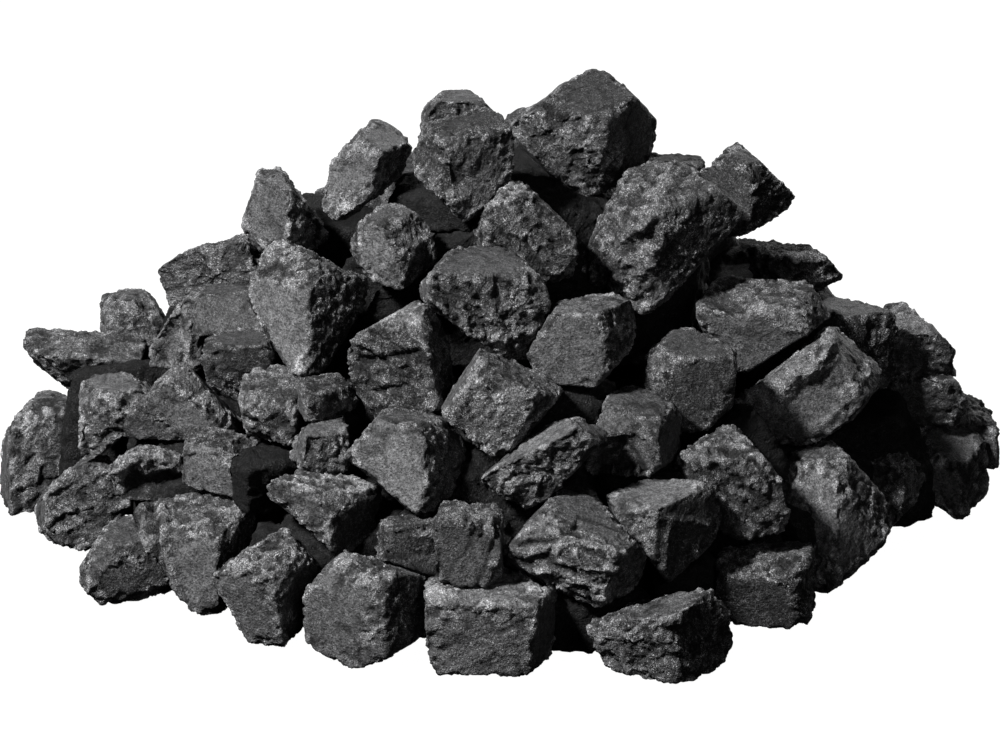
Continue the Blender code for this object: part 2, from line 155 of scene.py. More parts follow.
# Crustiness, 0 to 1: what a face can have by chance, and how often; then what the named faces have.
CRUSTS = (0.12, 0.4, 0.75, 1.0)
CRUST_CHANCES = (0.35, 0.25, 0.25, 0.15)
CRUSTY = 0.95
SMOOTH = 0.08
USUAL_TONE = (0.3, 0.6)
TONE_SPREAD = 0.15  # between the faces of one lump
USUAL_KNOBS = 1.0
USUAL_STRIPES = 0.8
STRIPED = (0.2, 1.0)  # how striped a face is by chance
GRAIN_STRAY = 0.15  # how far the grain leans out of the plane it is given in
CORE_WORN = 0.3  # the wear that is left on the buried lumps, which are painted dark as painted shade
MAIN_FACE = 0.04  # of the lump's area: a face smaller than this can't be meant by a direction
FACE_SPREAD = (0.14, 0.03)  # behind the face that lies most that way: not named at all, and named wholly

# The material: how much light charcoal gives back, the pale value of its painted glints, its bumps, and its
# noise, in features to a metre.
DARKEST = 0.013
PALEST = 0.070
PAINTED_GLINT_VALUES = (0.09, 0.42)  # the pale value of the painted glints, painted highlights added on the smoothest and the roughest places
CRUMB_GLINT_SHARE = 0.55
BLUENESS = 1.02
CHARCOAL_SPECULAR = 0.16
FINE_BUMP = 0.8 * MM
COARSE_BUMP = 1.4 * MM
DUST_SCALE = 55
MOTTLE_SCALE = 320
GLINT_PATCH_SCALE = 430
GRAIN_SCALE = 1100
CRUMB_SCALE = 1250
WOBBLE_SCALE = 1400
FLECK_GLINT_SCALE = 2300
WOBBLE = 1.1 * MM

# What a point's surface is like is four numbers, which the material reads as red, green, blue and alpha:
# how rough it is, how worn, how much painted shade lies in its hollows, and how pale it is: its tone,
# with painted light and painted shade. These are the columns of the last three.
WORN, HOLLOW_SHADE, TONE_AND_PAINTED_LIGHT = 1, 2, 3

# The directions that the lumps' features are given in: to the right, up, and out towards the front.
RIGHT = np.array((1, 0, 0))
UP = np.array((0, math.sin(ELEVATION), math.cos(ELEVATION)))
OUT = np.array((0, -math.cos(ELEVATION), math.sin(ELEVATION)))

# What is particular to a lump. Directions are (right, up, out). `smooth` and `crusty` name the faces that
# lie that way. `dark` and `pale` name the faces painted darker and paler: mostly painted shade on faces
# turned away from the key lamp, and painted light on faces turned to it. `grain` is the way the wood's grain
# runs, in degrees from the right, `stripes` and `knobs` how strongly grain and knobs stand out, and the tone
# how pale the lump is, 0 to 1. `marks` are ridges (higher than 0) and hollows (lower, painted dark as
# painted shade), each a line over the outline, -1 to 1 across and up, with its half width and height in
# millimetres.
STYLES = {
    "peak_lump": dict(
        smooth=[(0.6, 0.5, 0.6)], dark=[(0.6, 0.5, 0.6)], crusty=[(-0.2, -0.5, 0.8)], grain=35,
        marks=[([(-0.45, 0.42), (-0.3, 0.3)], 4.5, -3.5), ([(-0.6, 0.25), (-0.45, 0.1)], 2.5, 2.0)],
    ),
    "crown_lump": dict(
        smooth=[(0.5, 0.5, 0.6)], dark=[(0.5, 0.5, 0.6)], crusty=[(-0.5, -0.4, 0.8)], knobs=1.5, grain=60,
        marks=[
            ([(-0.75, -0.1), (-0.5, -0.45), (-0.1, -0.6)], 4.0, 2.5),
            ([(-0.35, -0.1), (-0.1, -0.3)], 3.5, -3.0),
        ],
    ),
    "tall_lump": dict(smooth=[(-0.4, 0.2, 0.9)], crusty=[(0.8, 0, 0.5)], grain=60, tone_and_painted_light=0.7),
    "cone_lump": dict(smooth=[(-0.6, 0.1, 0.7)], crusty=[(0.6, 0.1, 0.7)], grain=80, tone_and_painted_light=0.7),
    "tall_face_block": dict(
        smooth=[(-0.6, 0, 0.75)], pale=[(-0.6, 0, 0.75)],
        crusty=[(0.4, 0.7, 0.5)], dark=[(0.8, -0.3, 0.4)], grain=80,
    ),
    "striated_lump": dict(crusty=[(0, 0.3, 1)], grain=25, stripes=2.6, tone_and_painted_light=0.5),
    "leaf_lump": dict(
        smooth=[(0, 0, 1), (-0.6, 0.2, 0.7)], grain=72, tone_and_painted_light=0.85,
        marks=[([(-0.45, -0.7), (0.1, 0.7)], 3.5, -2.5), ([(0.35, -0.7), (0.55, 0.6)], 1.8, 1.5)],
    ),
    "flat_pale_lump": dict(
        smooth=[(-0.2, 0.1, 1)], pale=[(-0.2, 0.1, 1)], crusty=[(0.8, 0, 0.5)], grain=75
    ),
    "gnarly_lump": dict(crusty=[(0, 0, 1), (-0.5, 0.3, 0.8)], knobs=1.6, grain=110, tone_and_painted_light=0.4),
    "round_rough_lump": dict(
        smooth=[(-0.8, 0.1, 0.5)], crusty=[(0.4, -0.4, 0.8)], knobs=1.5, grain=150, tone_and_painted_light=0.5,
        marks=[
            ([(0.1, -0.3), (0.35, -0.1), (0.55, -0.35)], 2.2, 2.0),
            ([(0.0, -0.55), (0.4, -0.65)], 2.2, 2.0),
        ],
    ),
    "layered_lump": dict(
        smooth=[(-0.1, 0.8, 0.6)], pale=[(-0.1, 0.8, 0.6)], crusty=[(0, -0.2, 1)], grain=-30, stripes=2.2,
        marks=[([(-0.7, -0.05), (0.3, 0.1)], 1.6, -2.5), ([(-0.5, -0.5), (0.4, -0.3)], 1.6, -2.2)],
    ),
    "square_lump": dict(crusty=[(0, 0, 1)], grain=38, stripes=2.0, tone_and_painted_light=0.55),
    "pale_facet_lump": dict(
        smooth=[(-0.6, 0.1, 0.75)], pale=[(-0.6, 0.1, 0.75)],
        crusty=[(0.6, -0.2, 0.7)], grain=-62, stripes=2.0,
    ),
    "bevel_lump": dict(
        smooth=[(-0.5, 0.6, 0.5)], pale=[(-0.5, 0.6, 0.5)],
        crusty=[(0.3, -0.3, 0.9)], grain=42, stripes=1.5,
    ),
    "hollow_block": dict(
        smooth=[(-0.2, 0.2, 1), (0.6, 0.2, 0.7)], grain=85, tone_and_painted_light=0.4,
        marks=[([(-0.6, -0.9), (-0.35, -0.35), (-0.05, -0.9)], 6.0, -6.5)],
    ),
    "dark_round_lump": dict(smooth=[(0.3, 0.2, 0.9)], knobs=0.8, tone_and_painted_light=0.05),
    "flat_lump": dict(
        smooth=[(0, 0.2, 1)], crusty=[(-0.5, -0.5, 0.6), (0.6, 0.3, 0.6)], grain=20, tone_and_painted_light=0.6
    ),
    "ridge_lump": dict(
        smooth=[(0.6, 0, 0.8)], dark=[(0.6, 0, 0.8)],
        crusty=[(-0.7, 0.2, 0.6), (0, 0.8, 0.5)], knobs=1.5, grain=60,
        marks=[
            ([(-0.5, -0.35), (-0.35, 0.1), (0.0, 0.35), (0.1, 0.75)], 4.0, 4.0),
            ([(-0.15, -0.25), (0.0, 0.1), (0.3, 0.25)], 3.5, 3.0),
            ([(-0.3, -0.05), (-0.1, 0.2)], 3.0, -4.0),
            ([(0.1, -0.75), (0.45, -0.65)], 5.0, 2.5),
        ],
    ),
    # Painted shade: this lump's low tone and its dark faces stand for a lump turned away from the key lamp.
    "right_crown_lump": dict(
        crusty=[(0.7, 0, 0.7)], dark=[(0.7, 0, 0.7), (0, 0, 1)], knobs=1.6, grain=20, tone_and_painted_light=0.1
    ),
    "jagged_lump": dict(crusty=[(0.5, 0, 0.8)], knobs=1.6, grain=10, stripes=2.0, tone_and_painted_light=0.1),
    "three_corner_lump": dict(
        smooth=[(0.1, -0.3, 0.9)], crusty=[(-0.3, 0.5, 0.8)], grain=-25, tone_and_painted_light=0.5,
        marks=[
            ([(-0.55, 0.55), (-0.35, 0.35)], 4.5, -3.0),
            ([(-0.2, 0.5), (0.3, 0.0), (0.7, -0.2)], 3.0, 2.0),
        ],
    ),
    "ridged_slab": dict(
        smooth=[(-0.1, 0.1, 1)], grain=40, tone_and_painted_light=0.6,
        marks=[
            ([(-0.85, -0.15), (-0.45, -0.25), (-0.2, 0.15), (0.15, 0.35), (0.25, 0.75)], 4.0, 5.0),
            ([(-0.6, -0.45), (-0.3, -0.4)], 4.0, 3.0),
            ([(0.1, -0.75), (0.55, -0.2), (0.8, 0.35)], 1.6, 1.2),
        ],
    ),
    "right_high_block": dict(tone_and_painted_light=0.15, dark=[(0.5, 0, 0.8)], grain=80),
    "right_end_block": dict(smooth=[(-0.2, 0.1, 1), (0, 0.8, 0.5)], knobs=0.6, tone_and_painted_light=0.75, grain=90),
    "right_low_lump": dict(crusty=[(0, 0, 1)], knobs=1.4, tone_and_painted_light=0.45, grain=60),
    "wedge_lump": dict(
        smooth=[(-0.7, 0.1, 0.6), (0.6, 0, 0.8)], pale=[(-0.7, 0.1, 0.6)], grain=60, tone_and_painted_light=0.4,
        marks=[([(0.0, 0.95), (-0.15, 0.2), (-0.3, -0.4)], 1.8, 1.2)],
    ),
    "ledge_block": dict(
        smooth=[(0, -0.1, 1)], dark=[(0, -0.1, 1)], grain=0, tone_and_painted_light=0.3,
        marks=[
            ([(-0.95, 0.62), (-0.25, 0.68), (0.2, 0.5), (0.95, 0.6)], 4.0, 3.5),
            ([(-0.9, 0.3), (0.9, 0.25)], 1.5, -1.5),
        ],
    ),
    "front_block": dict(
        smooth=[(0, 0.9, 0.4)], pale=[(0, 0.9, 0.4)], crusty=[(-0.8, 0, 0.5)],
        grain=3, stripes=2.2, tone_and_painted_light=0.45,
        marks=[([(-0.95, 0.6), (-0.55, 0.45)], 3.0, 2.5), ([(-0.8, -0.85), (-0.6, -0.9)], 4.0, 2.0)],
    ),
    "front_right_lump": dict(
        crusty=[(-0.5, 0.2, 0.8), (0, 0, 1)], dark=[(0.8, 0, 0.5)], knobs=1.4, grain=15, tone_and_painted_light=0.45,
        marks=[([(-0.95, 0.1), (-0.85, -0.4)], 3.0, 2.0)],
    ),
    "middle_right_block": dict(
        smooth=[(-0.4, 0.6, 0.6), (0.6, -0.1, 0.8)], pale=[(-0.4, 0.6, 0.6)],
        dark=[(0.6, -0.1, 0.8)], grain=10,
        marks=[([(0.0, -0.7), (0.1, 0.2)], 1.5, 1.2), ([(-0.1, 0.3), (0.85, 0.1)], 1.5, 1.2)],
    ),
    "right_rough_lump": dict(crusty=[(0, 0, 1)], knobs=1.2, grain=-50, stripes=2.2, tone_and_painted_light=0.45),
    "big_front_lump": dict(
        crusty=[(0.2, 0, 1)], smooth=[(-0.5, 0.5, 0.7)], grain=-32, stripes=1.6, tone_and_painted_light=0.5,
        marks=[
            ([(-0.8, 0.1), (-0.35, 0.2), (0.0, 0.45)], 1.3, -2.5),
            ([(-0.6, -0.3), (0.1, -0.5)], 1.6, 1.4),
        ],
    ),
    "small_front_block": dict(
        smooth=[(0, -0.1, 1)], crusty=[(0, 0.8, 0.5)], grain=85, tone_and_painted_light=0.4,
        marks=[([(-0.8, 0.75), (0.0, 0.6), (0.8, 0.8)], 3.0, 2.5)],
    ),
    "under_lump": dict(smooth=[(0, 0, 1)], tone_and_painted_light=0.3),
    "flat_front_block": dict(
        smooth=[(-0.4, 0, 0.9), (0.8, 0, 0.5)], dark=[(0.8, 0, 0.5)],
        crusty=[(0, 0.9, 0.3)], grain=85, tone_and_painted_light=0.6,
    ),
    "hatched_block": dict(crusty=[(0, 0.8, 0.5)], smooth=[(0.2, -0.2, 1)], grain=22, stripes=2.4, tone_and_painted_light=0.5),
    "ribbed_block": dict(
        smooth=[(0.1, 0, 1)], crusty=[(0, 0.9, 0.4)], dark=[(0.8, 0, 0.5)],
        grain=75, stripes=1.3, tone_and_painted_light=0.65,
        marks=[
            ([(-0.85, 0.75), (-0.7, 0.0), (-0.45, -0.7)], 2.2, 3.0),
            ([(-0.5, 0.8), (-0.42, 0.1), (-0.25, -0.75)], 2.2, 2.5),
            ([(-0.66, 0.7), (-0.56, 0.05), (-0.36, -0.65)], 1.8, -2.5),
        ],
    ),
    "left_front_wedge": dict(smooth=[(-0.1, 0.2, 1)], grain=30, tone_and_painted_light=0.4),
    "left_low_lump": dict(crusty=[(0, 0.3, 1)], knobs=0.9, grain=10, tone_and_painted_light=0.6),
    "far_left_lump": dict(crusty=[(-0.3, 0.3, 0.9)], knobs=1.1, grain=60, tone_and_painted_light=0.55),
    "broken_shell_lump": dict(
        crusty=[(0, 0.3, 1)], knobs=1.5, grain=25, tone_and_painted_light=0.6,
        marks=[
            ([(-0.9, -0.15), (-0.4, 0.35), (0.3, 0.4), (0.9, 0.0)], 2.4, 3.0),
            ([(-0.4, -0.5), (0.4, -0.5)], 5.0, -5.0),
        ],
    ),
    "pale_block": dict(smooth=[(-0.2, 0, 1)], pale=[(-0.2, 0, 1)], crusty=[(0, 0.9, 0.4)], grain=5),
    "left_middle_block": dict(
        smooth=[(-0.4, 0.1, 0.9)], crusty=[(0, 0.9, 0.4)], dark=[(0.8, 0, 0.5)], grain=20
    ),
    "left_rough_lump": dict(crusty=[(0, 0, 1)], knobs=1.5, tone_and_painted_light=0.5),
    "left_slab": dict(crusty=[(0, 0.8, 0.5)], smooth=[(0, 0, 1)], grain=3, stripes=1.5, tone_and_painted_light=0.5),
    "pale_rough_lump": dict(crusty=[(0, 0.2, 1)], tone_and_painted_light=0.75, grain=60),
    "triangle_lump": dict(smooth=[(0, 0.2, 1)], grain=25, tone_and_painted_light=0.55),
}


def seed_of(name):
    return zlib.crc32(name.encode())


def step_up(value, low, high):
    """0 up to low, 1 from high, and a smooth slope between them."""
    t = np.clip((value - low) / (high - low), 0, 1)
    return t * t * (3 - 2 * t)


def unit(way):
    return way / np.linalg.norm(way)


# Noise -------------------------------------------------------------------------------------------

# Tables of chance, each with one entry for each of the 256 numbers that a cell can have.
_draws = np.random.default_rng(11)
PERM = _draws.permutation(256).astype(np.int32)
_slopes = _draws.normal(size=(256, 3))
SLOPES = (_slopes / np.linalg.norm(_slopes, axis=1)[:, None]).astype(np.float32)
OFFSETS = _draws.uniform(0, 200, size=(97, 3)).astype(np.float32)
SPOTS = _draws.uniform(0, 1, size=(256, 3)).astype(np.float32)  # the middle of a plate, in its cell
LIFTS = _draws.uniform(-1, 1, size=256).astype(np.float32)
TILTS = _draws.normal(size=(256, 3)).astype(np.float32)
SPLITS = _draws.uniform(0, 1, size=256).astype(np.float32)


def in_cells(points, seed):
    """(the unit cell that each point lies in, where it lies in its cell), moved about by the seed."""
    q = points + OFFSETS[seed % len(OFFSETS)]
    cell = np.floor(q).astype(np.int32)
    return cell, (q - cell).astype(np.float32)


def neighbours(cell, steps):
    """The cells at these steps from each cell along every axis: ((dx, dy, dz), their numbers)."""
    for dx in steps:
        hx = PERM[(cell[:, 0] + dx) & 255]
        for dy in steps:
            hy = PERM[(hx + cell[:, 1] + dy) & 255]
            for dz in steps:
                yield (dx, dy, dz), PERM[(hy + cell[:, 2] + dz) & 255]


def perlin(points, seed):
    """Perlin noise of about -1 to 1, with a wavelength of about one unit."""
    cell, f = in_cells(points, seed)
    fade = f * f * f * (f * (f * 6 - 15) + 10)
    fx, fy, fz = f[:, 0], f[:, 1], f[:, 2]
    wx, wy, wz = fade[:, 0], fade[:, 1], fade[:, 2]
    out = 0
    for (dx, dy, dz), number in neighbours(cell, (0, 1)):
        g = SLOPES[number]
        dot = g[:, 0] * (fx - dx) + g[:, 1] * (fy - dy) + g[:, 2] * (fz - dz)
        weight = (wx if dx else 1 - wx) * (wy if dy else 1 - wy) * (wz if dz else 1 - wz)
        out = out + dot * weight
    return out * NOISE_GAIN


def layers(points, seed, octaves, gain=0.5, folded=False):
    """Octaves of noise, each finer and lower than the last: smooth, or folded into knobs with creases."""
    total, size, most = 0, 1.0, 0.0
    for i in range(octaves):
        noise = perlin(points * (OCTAVE_RATIO**i), seed + OCTAVE_SEED * i)
        total = total + size * (np.abs(noise) if folded else noise)
        most += size
        size *= gain
    return total / most


def nearest_spots(points, seed):
    """The nearest two spots, of one to each unit cell: (near, far, their numbers, the ways from them)."""
    cell, f = in_cells(points, seed)
    count = len(f)
    near = [np.full(count, FAR, np.float32) for _ in range(2)]
    number = [np.zeros(count, np.int32) for _ in range(2)]
    way = [np.zeros((count, 3), np.float32) for _ in range(2)]
    for step, spot in neighbours(cell, (-1, 0, 1)):
        off = f - SPOTS[spot] - np.array(step, np.float32)
        dist = (off * off).sum(axis=1)
        first = dist < near[0]
        second = ~first & (dist < near[1])
        for kept, new in ((near, dist), (number, spot), (way, off)):
            kept[1][first] = kept[0][first]
            kept[1][second] = new[second]
            kept[0][first] = new[first]
    return np.sqrt(near[0]), np.sqrt(near[1]), number, way


def plates(points, seed, size, grain, stretch):
    """(a surface broken into small planes at odd heights and tilts, the splits between some of them)."""
    along = (points @ grain)[:, None] * grain
    q = ((points - along * (1 - 1 / stretch)) / size).astype(np.float32)
    near, far, number, way = nearest_spots(q, seed)
    heights = [LIFTS[number[i]] + PLATE_TILT * (way[i] * TILTS[number[i]]).sum(axis=1) for i in (0, 1)]
    edge = far - near
    share = 0.5 * (1 - step_up(edge, 0.0, PLATE_SLOPE))
    height = heights[0] * (1 - share) + heights[1] * share
    parted = (SPLITS[number[0]] + SPLITS[number[1]]) > SPLIT_FROM
    return np.clip(height, -PLATE_MOST, PLATE_MOST), parted * (1 - step_up(edge, *SPLIT_SIDES))


def ledges(value, rise):
    """The same value in flat steps, with short slopes in the middle of them."""
    steps = value / rise
    whole = np.floor(steps)
    return (whole + step_up(steps - whole, 0.3, 0.7)) * rise


# The lumps of a CAD node ------------------------------------------------------------------------


def convex_lumps(mesh):
    """The corners of each convex lump of a CAD mesh, parted at its hollow edges. The largest comes first."""
    bm = bmesh.new()
    bm.from_mesh(mesh)
    bmesh.ops.remove_doubles(bm, verts=bm.verts, dist=WELD)
    bm.normal_update()
    bm.faces.ensure_lookup_table()
    seen = [False] * len(bm.faces)
    lumps = []
    for face in bm.faces:
        if seen[face.index]:
            continue
        seen[face.index] = True
        stack, members = [face], []
        while stack:
            here = stack.pop()
            members.append(here)
            for edge in here.edges:
                if len(edge.link_faces) != 2 or edge.calc_face_angle_signed() < HOLLOW_EDGE:
                    continue
                for other in edge.link_faces:
                    if not seen[other.index]:
                        seen[other.index] = True
                        stack.append(other)
        corners = {vert.index: vert.co[:] for member in members for vert in member.verts}
        area = sum(member.calc_area() for member in members)
        if len(corners) >= FEWEST_CORNERS and area > SMALLEST_AREA:
            lumps.append((area, np.array(list(corners.values()))))
    bm.free()
    return [corners for area, corners in sorted(lumps, key=lambda lump: -lump[0])]


def hull_planes(corners):
    """(normals, offsets, areas) of the corners' convex hull, each flat face once, and the hull's corners."""
    bm = bmesh.new()
    for corner in corners:
        bm.verts.new(corner)
    bmesh.ops.convex_hull(bm, input=bm.verts)
    bm.normal_update()
    faces = sorted(((f.calc_area(), f.normal[:], f.verts[0].co[:]) for f in bm.faces), reverse=True)
    on_hull = np.array([v.co[:] for v in bm.verts if v.link_faces])
    bm.free()
    normals, offsets, areas = [], [], []
    for area, normal, point in faces:
        normal = np.array(normal)
        offset = float(normal @ np.array(point))
        for i, known in enumerate(normals):
            if known @ normal > SAME_WAY and abs(offsets[i] - offset) < SAME_PLANE:
                areas[i] += area
                break
        else:
            normals.append(normal)
            offsets.append(offset)
            areas.append(area)
    return np.array(normals), np.array(offsets), np.array(areas), on_hull


def box_lattice(counts):
    """(points of -1 to 1 on a cube's surface, quads) with the given number of quads along each axis."""
    points, quads, start = [], [], 0
    for axis in range(3):
        a, b = (axis + 1) % 3, (axis + 2) % 3
        na, nb = counts[a], counts[b]
        ia, ib = np.meshgrid(np.arange(na + 1), np.arange(nb + 1), indexing="ij")
        index = np.arange((na + 1) * (nb + 1)).reshape(na + 1, nb + 1)
        corners = [index[:-1, :-1], index[1:, :-1], index[1:, 1:], index[:-1, 1:]]
        quad = np.stack([c.ravel() for c in corners], axis=1)
        for side in (0, 1):
            lattice = np.zeros(((na + 1) * (nb + 1), 3), np.int64)
            lattice[:, a] = ia.ravel()
            lattice[:, b] = ib.ravel()
            lattice[:, axis] = side * counts[axis]
            points.append(lattice)
            quads.append((quad if side else quad[:, ::-1]) + start)
            start += len(lattice)
    points = np.concatenate(points)
    quads = np.concatenate(quads)
    unique, inverse = np.unique(points, axis=0, return_inverse=True)
    place = unique / np.array(counts) * 2 - 1
    return np.tan(place * math.pi / 4), inverse.reshape(-1)[quads]


class Lump:
    """One convex lump, with its faces and its fine mesh before any noise."""

    def __init__(self, corners, name, step):
        self.rng = np.random.default_rng(seed_of(name))
        self.seed = seed_of(name) % SEEDS
        self.normals, self.offsets, self.areas, hull = hull_planes(corners)
        self.main_faces = len(self.normals)
        self.centre = (hull.min(axis=0) + hull.max(axis=0)) / 2
        self.add_chips(hull)
        self.reach = self.offsets - self.normals @ self.centre
        self.wrap(hull, step)

    def add_chips(self, hull):
        """A few more small faces, just inside the corners and edges."""
        ways = self.rng.normal(size=(CHIPS, 3))
        ways /= np.linalg.norm(ways, axis=1)[:, None]
        tops = (hull @ ways.T).max(axis=0)
        thick = tops - (hull @ ways.T).min(axis=0)
        cut = thick * self.rng.uniform(*CHIP_CUT, CHIPS)
        self.normals = np.concatenate([self.normals, ways])
        self.offsets = np.concatenate([self.offsets, tops - cut])
        self.areas = np.concatenate([self.areas, np.zeros(CHIPS)])

    def wrap(self, hull, step):
        """The fine mesh: directions from the middle, each as long as the faces allow."""
        spread = hull - self.centre
        _, _, axes = np.linalg.svd(spread - spread.mean(axis=0), full_matrices=False)
        half = np.abs(spread @ axes.T).max(axis=0)
        counts = [max(FEWEST_QUADS, int(round(2 * h * WRAP_SHARE / step))) for h in half]
        cube, self.quads = box_lattice(counts)
        if np.linalg.det(axes) < 0:
            self.quads = self.quads[:, ::-1]
        ways = (cube * half) @ axes
        ways /= np.linalg.norm(ways, axis=1)[:, None]
        facing = np.clip(ways @ self.normals.T, 0, None) / self.reach
        top = facing.max(axis=1, keepdims=True)
        near = (facing / top) ** EDGE_POWER
        total = near.sum(axis=1)
        radius = 1 / (top[:, 0] * total ** (1 / EDGE_POWER))
        self.base = self.centre + ways * radius[:, None]
        self.weights = near / total[:, None]
        wide = (facing / top) ** EDGE_REACH
        wide /= wide.sum(axis=1, keepdims=True)
        self.edge = 1 - wide.max(axis=1)
        lean = self.weights @ (self.normals / self.reach[:, None])
        self.out = lean / np.linalg.norm(lean, axis=1)[:, None]

    def face_values(self, values):
        """A value of each face, at each point of the mesh, blended at the edges."""
        return self.weights @ values

    def turn_faces(self, values, ways, target):
        """Gives the faces that lie each of these ways the target value."""
        main = self.areas[: self.main_faces] > MAIN_FACE * self.areas.sum()
        for right, up, out in ways:
            facing = self.normals @ unit(right * RIGHT + up * UP + out * OUT)
            best = facing[: self.main_faces][main].max()
            values += (target - values) * step_up(facing, best - FACE_SPREAD[0], best - FACE_SPREAD[1])


# The surface of a lump ---------------------------------------------------------------------------


def mark_heights(lump, marks, warp):
    """How far the lump's ridges stand out and its hollows go in, in millimetres."""
    offset = lump.base - lump.centre
    height = np.zeros(len(offset))
    if not marks:
        return height
    across, up = offset @ RIGHT, offset @ UP
    half = np.array((np.abs(across).max(), np.abs(up).max()))
    flat = np.stack([across, up], axis=1) / MM + MARK_WARP * warp[:, :2]
    front = step_up(lump.out @ OUT, 0.1, 0.45)
    for line, width, rise in marks:
        line = np.array(line) * half / MM
        nearest = np.full(len(flat), np.inf)
        for start, end in zip(line[:-1], line[1:]):
            way = end - start
            t = np.clip((flat - start) @ way / (way @ way), 0, 1)
            gap = flat - start - t[:, None] * way
            nearest = np.minimum(nearest, (gap * gap).sum(axis=1))
        height += rise * np.exp(-nearest / (width * width)) * front
    return height


def grain_of(lump, style):
    """The way that the wood's grain runs in a lump."""
    grain = lump.rng.normal(size=3)
    if "grain" in style:
        angle = math.radians(style["grain"])
        grain = math.cos(angle) * RIGHT + math.sin(angle) * UP + GRAIN_STRAY * grain
    return unit(grain)


def face_characters(lump, style, grain):
    """How crusty, how pale and how striped the lump is at each point, by what its faces are like: the
    paleness is the tone, with painted light and painted shade on the faces named pale and dark.
    """
    rng, count = lump.rng, len(lump.normals)
    crust = rng.choice(CRUSTS, size=count, p=CRUST_CHANCES)
    usual_tone = rng.uniform(*USUAL_TONE)
    tone_and_painted_light = style.get("tone_and_painted_light", usual_tone) + rng.uniform(-TONE_SPREAD, TONE_SPREAD, size=count)
    tone_and_painted_light = np.clip(tone_and_painted_light, 0, 1)
    lump.turn_faces(crust, style.get("crusty", ()), CRUSTY)
    lump.turn_faces(crust, style.get("smooth", ()), SMOOTH)
    # Painted light on the faces named pale, and painted shade on the faces named dark.
    lump.turn_faces(tone_and_painted_light, style.get("pale", ()), 1.0)
    lump.turn_faces(tone_and_painted_light, style.get("dark", ()), 0.0)
    side_on = lump.face_values(1 - np.abs(lump.normals @ grain))  # end grain has no stripes
    striped = side_on * lump.face_values(rng.uniform(*STRIPED, size=count))
    return lump.face_values(crust), lump.face_values(tone_and_painted_light), striped


def shape(lump, style):
    """The finished points of a lump, and what its surface is like at each."""
    grain = grain_of(lump, style)
    crust, tone_and_painted_light, striped = face_characters(lump, style, grain)
    p = (lump.base / MM).astype(np.float32)
    seeds = {layer: lump.seed + salt for layer, salt in SALT.items()}

    # The layers of noise, each about -1 to 1 or 0 to 1.
    waves = WAVE_HEIGHT * layers(p / WAVE_SIZE, seeds["waves"], 2)
    waves = waves + SMALL_WAVE_HEIGHT * layers(p / SMALL_WAVE_SIZE, seeds["small_waves"], 2)
    patch = layers(p / PATCH_SIZE, seeds["patch"], 2)
    pits = step_up(perlin(p / PIT_SIZE, seeds["pits"]), 0.42, 0.75)
    nibble = step_up(layers(p / NIBBLE_SIZE, seeds["nibble"], 2), 0.0, 0.4)
    warp = [perlin(p / WARP_SIZE, seeds[layer]) for layer in ("warp_x", "warp_y", "warp_z")]
    warp = np.stack(warp, axis=1)
    knobs = layers((p + KNOB_WARP * warp) / KNOB_SIZE, seeds["knobs"], 3, 0.65, folded=True)
    grains = layers((p + GRAIN_WARP * warp) / GRAIN_SIZE, seeds["grains"], 2, 0.7, folded=True)
    plate, split = plates(p + PLATE_WARP * warp, seeds["plates"], PLATE_SIZE, grain, PLATE_STRETCH)
    chip, crack = plates(p + CHIP_WARP * warp, seeds["chips"], CHIP_SIZE, grain, CHIP_STRETCH)
    along = (p @ grain)[:, None] * grain
    fibres = (p - along) / FIBRE_WIDTH + along / FIBRE_LENGTH + FIBRE_WARP * warp
    stripes = layers(fibres.astype(np.float32), seeds["stripes"], 2, 0.6) * striped
    marks = mark_heights(lump, style.get("marks", ()), warp)

    # How rough it is: crusty faces are, and so are the worn edges of all.
    arris = step_up(lump.edge, 0.08, 0.45)
    rough = crust * (1 + 0.8 * patch) + 0.8 * arris * (0.55 + patch) + 0.2 * np.clip(patch, 0, 1)
    rough = np.clip(rough, 0.08, 1.15)

    height = waves * (0.4 + 0.6 * crust) + (ledges(waves, LEDGE_RISE) - waves) * step_up(crust, 0.3, 0.6)
    height = height - NIBBLE_DEPTH * nibble * arris
    height = height + (0.12 + 0.88 * crust) * (PLATE_HEIGHT * plate - SPLIT_DEPTH * split)
    height = height + rough * KNOB_HEIGHT * style.get("knobs", USUAL_KNOBS) * (knobs - 0.32)
    height = height + rough * (GRAIN_HEIGHT * (grains - 0.3) + CHIP_HEIGHT * chip - CRACK_DEPTH * crack)
    height = height + STRIPE_HEIGHT * style.get("stripes", USUAL_STRIPES) * stripes * (0.35 + 0.65 * rough)
    height = height + marks * (0.8 + 0.5 * knobs)
    height = height - PIT_DEPTH * pits * step_up(rough, 0.35, 0.9)
    height = height + SWELL
    points = lump.base + lump.out * (height * MM)[:, None]
    points[:, 2] = np.maximum(points[:, 2], 0)  # nothing goes into the floor

    # What the material needs to know: the tops are worn pale, and the hollows are painted dark as painted
    # shade.
    low = rough * (0.27 - knobs - 0.22 * chip) - 0.35 * stripes
    hollow_shade = 0.8 * step_up(low, -0.02, 0.22) + 0.5 * pits * rough + 0.6 * np.maximum(split, rough * crack)
    hollow_shade = hollow_shade + 0.8 * step_up(-marks, 0.8, 3.0)
    worn = step_up(rough * (knobs - 0.2 + 0.2 * chip) + 0.35 * arris * (0.6 + patch), 0.15, 0.55)
    worn = worn + 0.35 * step_up(marks, 0.6, 2.5)
    rough = rough + 0.5 * step_up(np.abs(marks), 0.3, 1.5)
    return points, np.clip(np.stack([rough, worn, hollow_shade, tone_and_painted_light], axis=1), 0, 1)


